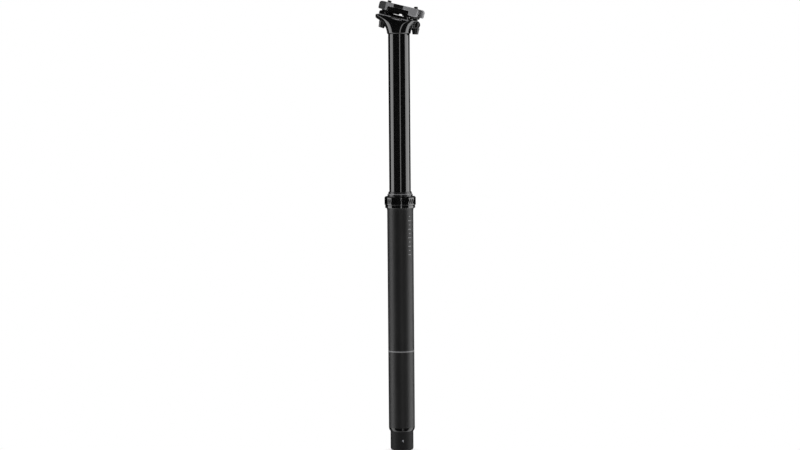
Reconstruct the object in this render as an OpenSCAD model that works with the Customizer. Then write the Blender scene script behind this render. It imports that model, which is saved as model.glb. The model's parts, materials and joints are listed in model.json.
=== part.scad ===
/* [Lower tube] */
// Outside diameter of the lower tube, which the frame's seat tube clamps
tube_d = 30.9; // [30.4:0.1:34.9]
// Wall of the lower tube
tube_wall = 1.6; // [1.4:0.1:1.8]
// Length of the straight tube below the flare
tube_len = 261; // [260:1:340]
// Height of the flare under the collar
flare_h = 3.8; // [2:0.1:6]
// How far the flare stands out beyond the tube
flare_out = 0.75; // [0.6:0.05:1.2]
// Height of the threaded neck inside the collar
neck_h = 8.8; // [7:0.1:9.5]
// Height of the rounded lower edge
end_round_h = 4.2; // [2:0.1:6]
// How far the lower edge rounds in
end_round_in = 1.3; // [0.6:0.1:1.3]

/* [Seal collar] */
// How far the collar stands out beyond the tube
collar_out = 3; // [2.9:0.05:4.5]
// Height of the collar
collar_h = 13.7; // [13:0.1:18]
// How far the collar's lower rim stands out beyond the tube
rim_out = 2.25; // [2:0.05:2.75]
// Height of the lower rim
rim_h = 3.1; // [2:0.1:4]
// Chamfer on the collar's upper edge
collar_chamfer = 1.2; // [0.4:0.1:1.6]
// Number of triangles that point up, with as many pointing down between them
knurl_count = 32; // [24:1:36]
// Height of the triangles
knurl_h = 5.8; // [4:0.1:6.4]
// Depth of the triangles
knurl_depth = 0.8; // [0.3:0.1:1]

/* [Wiper seal] */
// Thickness of the wiper's lip around the stanchion
wiper_wall = 2.2; // [1.7:0.05:2.3]
// Height of the wiper above the collar
wiper_h = 5.5; // [4:0.1:9]

/* [Stanchion] */
// Outside diameter of the sliding upper tube
stanchion_d = 25.4; // [24.6:0.1:25.6]
// Wall of the upper tube
stanchion_wall = 1.7; // [1.5:0.1:1.9]
// How far the post drops
travel = 175; // [100:5:175]
// Gap left between head and wiper when the post is down
drop_gap = 10; // [8:1:30]
// Length that stays inside the lower tube when the post is up
overlap = 70; // [60:1:70]
// Length of the guide bushing in the lower tube
bushing_len = 40; // [25:1:42]
// Length of the brass guide keys
key_len = 18; // [10:1:18]
// Width of the guide keys
key_w = 4.5; // [3:0.1:6]

/* [Head] */
// Height from the stanchion's top to the middle of the saddle seat
head_h = 18.9; // [18.4:0.1:19.4]
// Forward offset of the saddle seat
head_shift = 2.2; // [1.6:0.1:2.8]
// Nose-down angle of the saddle seat
head_tilt = 12; // [6:0.5:16]
// Width of the head across its sides
head_w = 29; // [27:0.1:30]
// Step from the upper tube out to the neck
neck_out = 1.2; // [1:0.1:1.4]
// Radius of the sweep from neck to rear arm
rear_sweep_r = 20; // [19:0.5:21]
// Radius of the sweep from neck to front ear
front_sweep_r = 13.5; // [13:0.5:15]
// Steepest lean of both sweeps
sweep_angle = 55; // [52:1:58]
// Height of the rear arm's level top above the upper tube
arm_top = 23.7; // [23.2:0.1:24]
// Reach of the rear arm's round end from the tube's axis
arm_reach = 27.3; // [26.8:0.1:27.8]
// Radius of the sweep towards the sides
side_sweep_r = 55; // [40:1:80]
// Distance of each bolt pivot from the middle of the seat
ear_spread = 19.1; // [18.6:0.1:19.6]
// Depth of the bolt pivots below the seat
ear_drop = 4.4; // [4:0.1:4.8]
// Radius of the round ear that each bolt pulls on
ear_r = 4.6; // [4.2:0.1:5]
// Width of the ears
ear_w = 16; // [14:0.5:20]
// Radius of the hollow seat that the saddle clamp rocks in
cradle_r = 25; // [22:0.5:30]
// Depth of the hollow seat
cradle_dip = 3.4; // [3.2:0.1:3.8]

/* [Saddle clamp] */
// Nose-down angle at which the clamp is set
clamp_tilt = 14; // [8:0.5:16]
// Diameter of the saddle rails
rail_d = 7; // [6.8:0.1:7.4]
// Distance between the saddle rails
rail_spacing = 44; // [43:0.5:46]
// Height of the rails above the seat
rail_h = 4.5; // [4.3:0.1:5]
// Length of the clamp along the rails
clamp_len = 46; // [40:0.5:52]
// Width of the clamp beside each rail
beam_w = 10; // [9.5:0.1:12]
// Height of the lower clamp's underside beside the head
lower_clamp_z = -1.6; // [-1.8:0.1:-1.3]
// Height of the upper clamp's top above the seat
upper_clamp_z = 14.6; // [14.2:0.1:15.6]
// Gap between the two clamp halves
clamp_gap = 1.2; // [1:0.1:2]
// Length of the waist between the rail pads
waist_len = 26; // [22:0.5:27]
// Length of the opening under the middle of the upper clamp
arch_len = 9; // [6:0.5:12]
// Height of that opening
arch_h = 1.6; // [1:0.1:2.2]
// Thickness of the bar that bridges the waist
bar_t = 4.6; // [3.5:0.1:5]
// How far the lower clamp reaches to the rear
lower_rear = 21; // [18:0.5:22]
// How far the lower clamp reaches to the front
lower_front = 14; // [13:0.5:15]
// Length of the lower clamp's front pads
lower_pad = 6; // [4:0.5:7]
// Length of the lower clamp's middle
saddle_len = 24; // [18:0.5:25]

/* [Bolts] */
// Diameter of the clamp bolts
bolt_d = 5; // [4:0.1:5.2]
// Diameter of the bolt heads
bolt_head_d = 8.4; // [7:0.1:8.8]
// Height of the bolt heads
bolt_head_h = 5; // [4:0.1:6]
// How far each bolt stands out above its nut
bolt_tip = 2.4; // [1:0.1:4]
// Diameter of the washers
washer_d = 9.2; // [8.8:0.1:10]
// Thickness of the washers at the middle
washer_t = 1.6; // [1.2:0.1:2.4]
// Distance of each cross nut from the clamp's middle
nut_spread = 16.9; // [16.4:0.1:17.4]
// Height of the cross nuts above the seat
nut_h = 10.6; // [10.4:0.1:11.4]
// Diameter of the cross nuts
nut_d = 8; // [7.4:0.1:8.4]
// Length of the cross nuts
nut_len = 14; // [10:0.5:20]

/* [Gas cartridge] */
// Bore of the cartridge
cartridge_bore = 18; // [16:0.1:18.2]
// Diameter of the cartridge rod
rod_d = 8; // [7:0.1:9]
// Diameter of the release pin inside the rod
pin_d = 2.9; // [2:0.1:3.2]
// Length of the rod gland
gland_len = 12; // [8:0.5:14]
// Length of the piston
piston_len = 10; // [6:0.5:12]
// Length of the floating piston
float_len = 12; // [8:0.5:16]
// Length of the cartridge cap inside the bore
cap_len = 8; // [5:0.5:12]

/* [Actuator foot] */
// How far the foot steps in from the tube
foot_in = 1.85; // [1.75:0.05:2.1]
// Length of the foot below the lower tube
foot_len = 23.2; // [23:0.1:32]
// Radius of the foot's lower edge
foot_round = 3; // [1:0.1:3]
// Depth of the foot's plug inside the tube
plug_len = 14; // [10:0.5:14]
// Thickness of the deck that carries the rod
deck_t = 6; // [5:0.5:7]
// Wall of the foot around the lever
foot_wall = 1.8; // [1.6:0.1:2]
// Forward offset of the lever's pivot
pivot_x = 3.2; // [2.8:0.1:4]
// Height of the lever's pivot above the foot's lower edge
pivot_h = 12.5; // [12:0.1:14]
// Diameter of the pivot pin
pivot_d = 2.4; // [1.6:0.1:3]
// Thickness of the lever
lever_w = 6; // [4:0.5:7]
// Distance of the cable from the foot's outside
cable_in = 6; // [5.6:0.1:6.6]
// Diameter of the cable housing's seat
housing_d = 4.2; // [4:0.1:4.6]
// Depth of the cable housing's seat
housing_depth = 3.5; // [2.5:0.1:4]

/* [Clearances] */
// Radial gap of running fits
run_gap = 0.05; // [0.02:0.01:0.09]
// Radial gap of parts that are pressed or screwed together
fit_gap = 0.02; // [0.01:0.01:0.04]
// Gap between parts that pass each other
free_gap = 0.4; // [0.3:0.05:0.6]

/* [Hidden] */
$fn = 96;
arc_steps = 10;
tiny = 0.01;
far = 200;

// Radii and heights of the lower tube and what sits on it
tube_r = tube_d / 2;
bore_r = tube_r - tube_wall;
thread_step = 0.4;
collar_r = tube_r + collar_out;
rim_r = tube_r + rim_out;
neck_r = tube_r + flare_out - thread_step;
neck_top = flare_h + neck_h;
collar_top = flare_h + collar_h;
collar_lip = 1.2;
collar_groove = 0.5;
wiper_r = stanchion_d / 2 + wiper_wall;
wiper_base_z = neck_top + free_gap;
wiper_top = collar_top + wiper_h;
wiper_nose_h = 1.8;
key_groove = 0.7;
key_count = 3;

// Radii and heights of the stanchion and the pieces at its lower end
stanchion_r = stanchion_d / 2;
stanchion_bore = stanchion_r - stanchion_wall;
stanchion_bottom = -overlap;
stanchion_top = wiper_top + drop_gap + travel;
key_seat = 1;
key_z = stanchion_bottom + 4;
glide_z = key_z + key_len + 2;
glide_len = 10;
glide_step = 0.5;
clip_t = 1.1;
clip_seat = 0.6;
clip_z = stanchion_bottom + 1.8;

// Radii and heights of the cartridge
cart_r = stanchion_bore - free_gap;
cart_bore = cartridge_bore / 2;
cart_bottom = clip_z + clip_t + fit_gap;
spigot_len = 12;
cap_flange = 2;
cart_top = stanchion_top - spigot_len - free_gap;
rod_r = rod_d / 2;
pin_r = pin_d / 2;
piston_z = cart_bottom + gland_len + 2;
piston_top = piston_z + piston_len;
rod_share = (rod_d / cartridge_bore) * (rod_d / cartridge_bore);
float_z = piston_top + travel * (1 - rod_share) + 6;
ring_h = 2.2;
ring_depth = 1.5;
seal_gap = 0.03;

// Heights of the foot
foot_r = tube_r - foot_in;
cavity_r = foot_r - foot_wall;
cable_x = foot_r - cable_in;
tube_bottom = -tube_len;
foot_bottom = tube_bottom - foot_len;
deck_top = tube_bottom + plug_len;
deck_bottom = deck_top - deck_t;
rod_flange_t = 2.5;
rod_nut_h = 5;
rod_nut_af = 13;
rod_bottom = deck_bottom - rod_nut_h - 2;
pivot_z = foot_bottom + pivot_h;
pivot_r = pivot_d / 2;
lever_hub_r = 3;
lever_tip_r = 1.6;
lever_tip = [-0.3 - pivot_x, 2.4];
barrel_r = 2.2;
barrel_wall = 1;
cable_r = 0.9;
stop_t = 5;
pin_bottom = pivot_z + lever_tip[1] + lever_tip_r + 0.3;
pin_top = piston_top - 2;

// Places on the head and the clamp, as [forward, up] pairs
seat_point = [head_shift, stanchion_top + head_h];
cradle_rise = cradle_r - cradle_dip;
skin_spare = 0.5;
function lean(p, a) = [p[0] * cos(a) + p[1] * sin(a), p[1] * cos(a) - p[0] * sin(a)];
function from_head(p) = seat_point + lean(p, head_tilt);
cradle_axis = from_head([0, cradle_rise]);
function from_clamp(p) = cradle_axis + lean(p - [0, cradle_rise], clamp_tilt);
function bolt_pivot(side) = from_head([side * ear_spread, -ear_drop]);
function nut_place(side) = from_clamp([side * nut_spread, nut_h]);
function bolt_reach(side) = norm(nut_place(side) - bolt_pivot(side));
function bolt_lean(side) =
    let (way = nut_place(side) - bolt_pivot(side))
    atan2(way[0], way[1]);
bolt_r = bolt_d / 2;
bolt_swing = [-4, 0, 6];
pocket_r = washer_d / 2 + free_gap;
pocket_depth = 16;
nut_r = nut_d / 2;
half_gap = clamp_gap / 2;
rail_r = rail_d / 2;
rail_y = rail_spacing / 2;
saddle_top = rail_h - 2.1;
bridge_w = rail_spacing - beam_w - 2 * free_gap;
bridge_bottom = saddle_top + free_gap;
bridge_half = nut_spread + nut_r - 0.5;
rear = -1;
front = 1;

black_gloss = "#101012";
black_satin = "#1d1d1f";
black_matte = "#262628";
steel = "#b9bcc0";
brass = "#b99a4b";
rubber = "#161617";
alloy = "#8d9094";

// Points of an arc from angle a to angle b
function arc(centre, r, a, b) =
    [for (i = [0 : arc_steps]) let (t = a + (b - a) * i / arc_steps) centre + r * [cos(t), sin(t)]];

// Radius of the circle that falls back by depth over a given height
function round_radius(h, depth) = (h * h + depth * depth) / (2 * depth);

// Ring between two radii and two heights
module ring(inner, outer, low, high) {
    rotate_extrude()
        translate([inner, low])
            square([outer - inner, high - low]);
}

// Axis along the width of the post, through a [forward, up] place
module across(place, length, r) {
    translate([place[0], length / 2, place[1]])
        rotate([90, 0, 0])
            cylinder(h = length, r = r);
}

// Flat outline in the side view, extruded over the width
module side_plate(width) {
    translate([0, width / 2, 0])
        rotate([90, 0, 0])
            linear_extrude(width)
                children();
}

module at_head() {
    translate([seat_point[0], 0, seat_point[1]])
        rotate([0, head_tilt, 0])
            children();
}

module at_clamp() {
    translate([cradle_axis[0], 0, cradle_axis[1]])
        rotate([0, clamp_tilt, 0])
            translate([0, 0, -cradle_rise])
                children();
}

module at_bolt(side, swing = 0) {
    place = bolt_pivot(side);
    translate([place[0], 0, place[1]])
        rotate([0, bolt_lean(side) + swing, 0])
            children();
}

module at_keys() {
    for (i = [0 : key_count - 1])
        rotate([0, 0, 90 + i * 360 / key_count])
            children();
}

module lower_tube() {
    edge_r = round_radius(end_round_h, end_round_in);
    edge_a = asin(end_round_h / edge_r);
    flare_r = round_radius(flare_h, flare_out);
    flare_a = asin(flare_h / flare_r);
    color(black_matte)
        difference() {
            rotate_extrude()
                polygon(concat(
                    [[bore_r, tube_bottom]],
                    arc([tube_r - edge_r, tube_bottom + end_round_h], edge_r, -edge_a, 0),
                    arc([tube_r + flare_r, 0], flare_r, 180, 180 - flare_a),
                    [[neck_r, flare_h], [neck_r, neck_top], [bore_r, neck_top]]
                ));
            at_keys()
                translate([0, -key_w / 2 - run_gap, deck_top])
                    cube([bore_r + key_groove, key_w + 2 * run_gap, neck_top - bushing_len - deck_top]);
        }
}

module knurl_triangle(angle, middle, up) {
    pitch = 2 * PI * collar_r / knurl_count;
    half = pitch * 0.36;
    rotate([0, 0, angle])
        translate([collar_r - knurl_depth, 0, middle])
            rotate([90, 0, 90])
                linear_extrude(far)
                    polygon([[-half, -up * knurl_h / 2], [half, -up * knurl_h / 2], [0, up * knurl_h / 2]]);
}

module seal_collar() {
    band_z = flare_h + rim_h + collar_groove;
    band_middle = (band_z + collar_top - collar_chamfer) / 2;
    turn = 360 / knurl_count;
    color(black_gloss)
        difference() {
            rotate_extrude()
                polygon([
                    [neck_r + fit_gap, flare_h],
                    [rim_r - 0.4, flare_h],
                    [rim_r, flare_h + 0.4],
                    [rim_r, flare_h + rim_h],
                    [rim_r - collar_groove, flare_h + rim_h],
                    [rim_r - collar_groove, band_z],
                    [collar_r - 0.4, band_z],
                    [collar_r, band_z + 0.4],
                    [collar_r, collar_top - collar_chamfer],
                    [collar_r - collar_chamfer, collar_top],
                    [wiper_r + run_gap, collar_top],
                    [wiper_r + run_gap, collar_top - collar_lip],
                    [neck_r + fit_gap, collar_top - collar_lip]
                ]);
            for (i = [0 : knurl_count - 1]) {
                knurl_triangle(i * turn, band_middle, 1);
                knurl_triangle((i + 0.5) * turn, band_middle, -1);
            }
        }
}

module wiper_seal() {
    lip = stanchion_r + seal_gap;
    relief = lip + 0.5;
    base_top = collar_top - collar_lip;
    color(rubber)
        rotate_extrude()
            polygon([
                [lip, wiper_base_z],
                [neck_r - fit_gap, wiper_base_z],
                [neck_r - fit_gap, base_top],
                [wiper_r, base_top],
                [wiper_r, wiper_top - wiper_nose_h],
                [lip + 0.5, wiper_top],
                [lip, wiper_top],
                [lip, wiper_top - 1.2],
                [relief, wiper_top - 1.8],
                [relief, wiper_base_z + 2],
                [lip, wiper_base_z + 1.4]
            ]);
}

module upper_bushing() {
    color("#5c5f58")
        ring(stanchion_r + run_gap, bore_r - fit_gap, neck_top - bushing_len, neck_top);
}

module stanchion() {
    edge = 0.25;
    color(black_gloss)
        difference() {
            rotate_extrude()
                polygon([
                    [stanchion_bore, stanchion_bottom],
                    [stanchion_r - 1, stanchion_bottom],
                    [stanchion_r, stanchion_bottom + 1],
                    [stanchion_r, glide_z],
                    [stanchion_r - glide_step, glide_z],
                    [stanchion_r - glide_step, glide_z + glide_len],
                    [stanchion_r, glide_z + glide_len],
                    [stanchion_r, stanchion_top - edge],
                    [stanchion_r - edge, stanchion_top],
                    [stanchion_bore, stanchion_top],
                    [stanchion_bore, clip_z + clip_t + fit_gap],
                    [stanchion_bore + clip_seat, clip_z + clip_t + fit_gap],
                    [stanchion_bore + clip_seat, clip_z - fit_gap],
                    [stanchion_bore, clip_z - fit_gap]
                ]);
            at_keys()
                translate([stanchion_r - key_seat, -key_w / 2 - fit_gap, key_z - fit_gap])
                    cube([far, key_w + 2 * fit_gap, key_len + 2 * fit_gap]);
        }
}

module guide_keys() {
    inner = stanchion_r - key_seat + fit_gap;
    color(brass)
        intersection() {
            ring(inner - 1, bore_r + key_groove - run_gap, key_z, key_z + key_len);
            at_keys()
                translate([inner, -key_w / 2, key_z])
                    cube([far, key_w, key_len]);
        }
}

module lower_bushing() {
    split = 3;
    color("#5c5f58")
        difference() {
            ring(
                stanchion_r - glide_step + fit_gap, bore_r - run_gap,
                glide_z + fit_gap, glide_z + glide_len - fit_gap
            );
            translate([0, -split / 2, glide_z - 1])
                cube([far, split, glide_len + 2]);
        }
}

module circlip() {
    opening = 14;
    color(steel)
        difference() {
            ring(cart_bore + 0.6, stanchion_bore + clip_seat - fit_gap, clip_z, clip_z + clip_t);
            translate([0, -opening / 2, clip_z - 1])
                cube([far, opening, clip_t + 2]);
        }
}

module cartridge_body() {
    color(alloy)
        ring(cart_bore, cart_r, cart_bottom, cart_top - cap_flange);
}

// Ring groove in a round piece, for a seal of the same height
module ring_groove(r, middle) {
    ring(r - ring_depth, r + 1, middle - ring_h / 2, middle + ring_h / 2);
}

// Seal that fills such a groove
module groove_seal(r, reach, middle) {
    ring(r - ring_depth + fit_gap, reach, middle - ring_h / 2 + fit_gap, middle + ring_h / 2 - fit_gap);
}

module cartridge_cap() {
    low = cart_top - cap_flange - cap_len;
    r = cart_bore - fit_gap;
    color(steel)
        difference() {
            union() {
                translate([0, 0, low])
                    cylinder(h = cap_len + tiny, r = r);
                translate([0, 0, cart_top - cap_flange])
                    cylinder(h = cap_flange, r = cart_r);
            }
            ring_groove(r, low + cap_len / 2);
        }
}

module cap_o_ring() {
    color(rubber)
        groove_seal(cart_bore - fit_gap, cart_bore - fit_gap, cart_top - cap_flange - cap_len / 2);
}

module cartridge_gland() {
    middle = cart_bottom + gland_len / 2;
    color(brass)
        difference() {
            ring(rod_r + run_gap, cart_bore - fit_gap, cart_bottom, cart_bottom + gland_len);
            ring(rod_r - tiny, rod_r + ring_depth, middle - ring_h / 2, middle + ring_h / 2);
        }
}

module gland_seal() {
    middle = cart_bottom + gland_len / 2;
    color(rubber)
        ring(
            rod_r + seal_gap, rod_r + ring_depth - fit_gap,
            middle - ring_h / 2 + fit_gap, middle + ring_h / 2 - fit_gap
        );
}

module cartridge_rod() {
    color(steel)
        difference() {
            union() {
                translate([0, 0, rod_bottom])
                    cylinder(h = piston_top - rod_bottom, r = rod_r);
                translate([0, 0, deck_top])
                    cylinder(h = rod_flange_t, r = rod_r + 2);
            }
            translate([0, 0, rod_bottom - 1])
                cylinder(h = far * 2, r = pin_r + run_gap);
        }
}

module rod_nut() {
    color(steel)
        translate([0, 0, deck_bottom - rod_nut_h])
            difference() {
                cylinder(h = rod_nut_h - fit_gap, r = rod_nut_af / 2 / cos(30), $fn = 6);
                translate([0, 0, -1])
                    cylinder(h = rod_nut_h + 2, r = rod_r + fit_gap);
            }
}

module piston() {
    r = cart_bore - run_gap;
    color(alloy)
        difference() {
            ring(rod_r + fit_gap, r, piston_z, piston_top);
            ring_groove(r, piston_z + piston_len / 2);
        }
}

module piston_ring() {
    color(rubber)
        groove_seal(cart_bore - run_gap, cart_bore - seal_gap, piston_z + piston_len / 2);
}

module floating_piston() {
    r = cart_bore - run_gap;
    color(alloy)
        difference() {
            translate([0, 0, float_z])
                cylinder(h = float_len, r = r);
            ring_groove(r, float_z + float_len / 2);
            translate([0, 0, float_z + float_len / 2 + ring_h])
                cylinder(h = float_len, r = r - ring_depth - 2);
        }
}

module floating_ring() {
    color(rubber)
        groove_seal(cart_bore - run_gap, cart_bore - seal_gap, float_z + float_len / 2);
}

module release_pin() {
    color(steel)
        translate([0, 0, pin_bottom])
            cylinder(h = pin_top - pin_bottom, r = pin_r);
}

module foot_housing() {
    groove_z = deck_top - deck_t / 2;
    plug_r = bore_r - fit_gap;
    stop_x = cable_x - housing_d / 2 - 1.3;
    color(black_satin)
        difference() {
            rotate_extrude()
                polygon(concat(
                    [[0, foot_bottom]],
                    arc([foot_r - foot_round, foot_bottom + foot_round], foot_round, -90, 0),
                    [
                        [foot_r, tube_bottom + 2], [plug_r, tube_bottom + 2],
                        [plug_r, deck_top], [0, deck_top]
                    ]
                ));
            difference() {
                translate([0, 0, foot_bottom - 1])
                    cylinder(h = deck_bottom - foot_bottom + 1, r = cavity_r);
                translate([stop_x, -far / 2, foot_bottom - 2])
                    cube([far, far, stop_t + 2]);
            }
            translate([0, 0, deck_bottom - 1])
                cylinder(h = deck_t + 2, r = rod_r + fit_gap);
            ring_groove(plug_r, groove_z);
            across([pivot_x, pivot_z], far, pivot_r + fit_gap);
            translate([cable_x, 0, foot_bottom - 1])
                cylinder(h = housing_depth + 1, r = housing_d / 2);
            translate([cable_x, 0, foot_bottom])
                cylinder(h = stop_t + 1, r = cable_r);
        }
}

module foot_o_ring() {
    color(rubber)
        groove_seal(bore_r - fit_gap, bore_r - fit_gap, deck_top - deck_t / 2);
}

module pivot_pin() {
    half = sqrt(foot_r * foot_r - (pivot_x + pivot_r) * (pivot_x + pivot_r));
    color(steel)
        across([pivot_x, pivot_z], 2 * half, pivot_r);
}

// Bar with round ends between two places in the side view
module link(a, ra, b, rb) {
    way = b - a;
    along = way / norm(way);
    normal = [-along[1], along[0]];
    translate(a)
        circle(ra);
    translate(b)
        circle(rb);
    polygon([a + normal * ra, a - normal * ra, b - normal * rb, b + normal * rb]);
}

module actuator_lever() {
    pivot = [pivot_x, pivot_z];
    barrel = [cable_x, pivot_z];
    color(alloy)
        difference() {
            side_plate(lever_w) {
                link(pivot, lever_hub_r, pivot + lever_tip, lever_tip_r);
                link(pivot, lever_hub_r, barrel, barrel_r + barrel_wall);
            }
            across(pivot, far, pivot_r + run_gap);
            across(barrel, far, barrel_r + run_gap);
            translate([cable_x - cable_r - free_gap, -cable_r, pivot_z - far])
                cube([2 * cable_r + 2 * free_gap, 2 * cable_r, far]);
        }
}

module cable_barrel() {
    color(brass)
        difference() {
            across([cable_x, pivot_z], lever_w + 0.5, barrel_r);
            translate([cable_x, 0, pivot_z - far / 2])
                cylinder(h = far, r = cable_r);
        }
}

// Growth of the neck at height h, along an arc and then a straight lean
function sweep(h, r, a) =
    h < r * sin(a) ? r - sqrt(r * r - h * h) : r * (1 - cos(a)) + (h - r * sin(a)) * tan(a);

// Lofted skin of the head: round at the neck, long and squarer towards the seat
module head_skin() {
    levels = 16;
    sides = 56;
    height = arm_top + skin_spare;
    square_end = 2.6;
    function blunt(v, n) = sign(v) * pow(abs(v), 2 / n);
    function neck(h) = stanchion_r + (h < neck_out ? sqrt(h * (2 * neck_out - h)) : neck_out);
    function skin_point(i, k) =
        let (h = height * i / levels)
        let (n = 2 + (square_end - 2) * i / levels)
        let (t = 360 * k / sides)
        let (reach = cos(t) < 0 ? rear_sweep_r : front_sweep_r)
        [
            (neck(h) + sweep(h, reach, sweep_angle)) * blunt(cos(t), n),
            (neck(h) + sweep(h, side_sweep_r, sweep_angle)) * blunt(sin(t), n),
            stanchion_top + h
        ];
    points = [for (i = [0 : levels]) for (k = [0 : sides - 1]) skin_point(i, k)];
    walls = [
        for (i = [0 : levels - 1]) for (k = [0 : sides - 1])
            let (a = i * sides + k)
            let (b = i * sides + (k + 1) % sides)
            each [[a, a + sides, b], [b, a + sides, b + sides]]
    ];
    floor = [[for (k = [0 : sides - 1]) k]];
    lid = [[for (k = [0 : sides - 1]) levels * sides + sides - 1 - k]];
    polyhedron(points, concat(floor, lid, walls), convexity = 4);
}

// Bar from the middle out to the front ear, round at its end as seen from above
module ear_bar() {
    tip = ear_spread + ear_r;
    end_r = ear_w / 2;
    at_head()
        intersection() {
            side_plate(ear_w)
                link([0, -ear_drop - 1], ear_r, [ear_spread, -ear_drop], ear_r);
            translate([0, 0, -far / 2])
                linear_extrude(far) {
                    translate([0, -end_r])
                        square([tip - end_r, ear_w]);
                    translate([tip - end_r, 0])
                        circle(end_r);
                }
        }
}

module ear_boss(side) {
    at_head()
        across([side * ear_spread, -ear_drop], ear_w - 2, ear_r);
}

module head() {
    spigot_r = stanchion_bore - fit_gap;
    hollow_r = spigot_r - 3;
    color(black_gloss)
        difference() {
            union() {
                difference() {
                    union() {
                        intersection() {
                            head_skin();
                            translate([-far / 2, -head_w / 2, stanchion_top])
                                cube([far, head_w, far]);
                            translate([0, 0, stanchion_top])
                                cylinder(h = far, r = arm_reach);
                        }
                        ear_bar();
                    }
                    for (side = [rear, front])
                        at_bolt(side)
                            translate([0, 0, -pocket_depth])
                                cylinder(h = pocket_depth, r = pocket_r + 0.8);
                }
                for (side = [rear, front])
                    ear_boss(side);
                translate([0, 0, stanchion_top - spigot_len])
                    cylinder(h = spigot_len + 1, r = spigot_r);
            }
            at_head()
                translate([-far / 2, -far / 2, 0])
                    cube(far);
            translate([-far / 2, -far / 2, stanchion_top + arm_top])
                cube(far);
            across(cradle_axis, far, cradle_r);
            for (side = [rear, front])
                for (swing = bolt_swing)
                    at_bolt(side, swing)
                        translate([0, 0, -far / 2])
                            cylinder(h = far, r = bolt_r + free_gap);
            translate([0, 0, stanchion_top - spigot_len - 1])
                cylinder(h = spigot_len + 6, r = hollow_r);
        }
}

// Both rail grooves of the clamp
module rail_grooves() {
    for (side = [-1, 1])
        translate([-far / 2, side * rail_y, rail_h])
            rotate([0, 90, 0])
                cylinder(h = far, r = rail_r);
}

// Side view of a clamp half, with rounded corners
module clamp_side(back, nose, low, high, low_r, high_r) {
    polygon(concat(
        arc([nose - low_r, low + low_r], low_r, -90, 0),
        arc([nose - high_r, high - high_r], high_r, 0, 90),
        arc([back + high_r, high - high_r], high_r, 90, 180),
        arc([back + low_r, low + low_r], low_r, 180, 270)
    ));
}

module beams(back, nose, low, high, low_r, high_r) {
    for (side = [-1, 1])
        translate([0, side * rail_y, 0])
            side_plate(beam_w)
                clamp_side(back, nose, low, high, low_r, high_r);
}

module lower_clamp() {
    color(black_satin)
        at_clamp()
            difference() {
                union() {
                    intersection() {
                        translate([-saddle_len / 2, -rail_y, -cradle_dip])
                            cube([saddle_len, rail_spacing, saddle_top + cradle_dip]);
                        across([0, cradle_rise], rail_spacing, cradle_r - run_gap);
                    }
                    beams(-lower_rear, lower_front, lower_clamp_z, rail_h - half_gap, 1.5, 0.8);
                }
                rail_grooves();
                for (side = [-1, 1])
                    translate([-waist_len / 2, side * rail_y - beam_w, rail_h - rail_r + 0.2])
                        cube([waist_len / 2 + lower_front - lower_pad, 2 * beam_w, far]);
            }
}

module upper_clamp() {
    color("#3a3a3d")
        at_clamp()
            difference() {
                union() {
                    beams(-clamp_len / 2, clamp_len / 2, rail_h + half_gap, upper_clamp_z, 1.5, 3.2);
                    translate([-bridge_half, -bridge_w / 2, bridge_bottom])
                        cube([2 * bridge_half, bridge_w, upper_clamp_z - 1.2 - bridge_bottom]);
                    translate([-bridge_half, -rail_y, rail_h + half_gap])
                        cube([2 * bridge_half, rail_spacing, upper_clamp_z - 1.2 - rail_h - half_gap]);
                }
                rail_grooves();
                translate([-arch_len / 2, -far / 2, 0])
                    cube([arch_len, far, bridge_bottom + arch_h]);
                for (side = [-1, 1])
                    translate([-waist_len / 2, side * rail_y - beam_w / 2, 0])
                        cube([waist_len, beam_w, upper_clamp_z - bar_t]);
                for (side = [rear, front]) {
                    across([side * nut_spread, nut_h], nut_len + 2 * free_gap, nut_r + run_gap);
                    translate([
                        side * nut_spread - nut_r - run_gap, -nut_len / 2 - free_gap, nut_h
                    ])
                        cube([2 * nut_r + 2 * run_gap, nut_len + 2 * free_gap, far]);
                    translate([
                        side * nut_spread - (side == rear ? far : bolt_r + 1.8), -bolt_r - free_gap, 0
                    ])
                        cube([far + bolt_r + 1.8, bolt_d + 2 * free_gap, far]);
                }
            }
}

module cross_nut(side) {
    place = nut_place(side);
    color(steel)
        difference() {
            across(place, nut_len, nut_r);
            at_bolt(side)
                cylinder(h = far, r = bolt_r + free_gap);
        }
}

module clamp_bolt(side) {
    low = -ear_r - run_gap - washer_t;
    socket_r = 2.3;
    socket_depth = 2.6;
    taper = 0.8;
    color(black_satin)
        at_bolt(side)
            difference() {
                rotate_extrude()
                    polygon([
                        [0, low - bolt_head_h],
                        [bolt_head_d / 2 - taper - 0.5, low - bolt_head_h],
                        [bolt_head_d / 2 - taper, low - bolt_head_h + 0.5],
                        [bolt_head_d / 2, low - fit_gap],
                        [bolt_r, low - fit_gap],
                        [bolt_r, bolt_reach(side) + nut_r + bolt_tip - 0.5],
                        [bolt_r - 0.5, bolt_reach(side) + nut_r + bolt_tip],
                        [0, bolt_reach(side) + nut_r + bolt_tip]
                    ]);
                translate([0, 0, low - bolt_head_h - 1])
                    cylinder(h = socket_depth + 1, r = socket_r, $fn = 6);
            }
}

module hollow_washer(side) {
    low = -ear_r - run_gap - washer_t;
    color(steel)
        at_bolt(side)
            difference() {
                translate([0, 0, low])
                    cylinder(h = washer_t + 1.2, r = washer_d / 2);
                across([0, 0], far, ear_r + run_gap);
                translate([0, 0, low - 1])
                    cylinder(h = far, r = bolt_r + fit_gap);
            }
}

module rear_nut() {
    cross_nut(rear);
}

module front_nut() {
    cross_nut(front);
}

module rear_bolt() {
    clamp_bolt(rear);
}

module front_bolt() {
    clamp_bolt(front);
}

module rear_washer() {
    hollow_washer(rear);
}

module front_washer() {
    hollow_washer(front);
}

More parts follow.
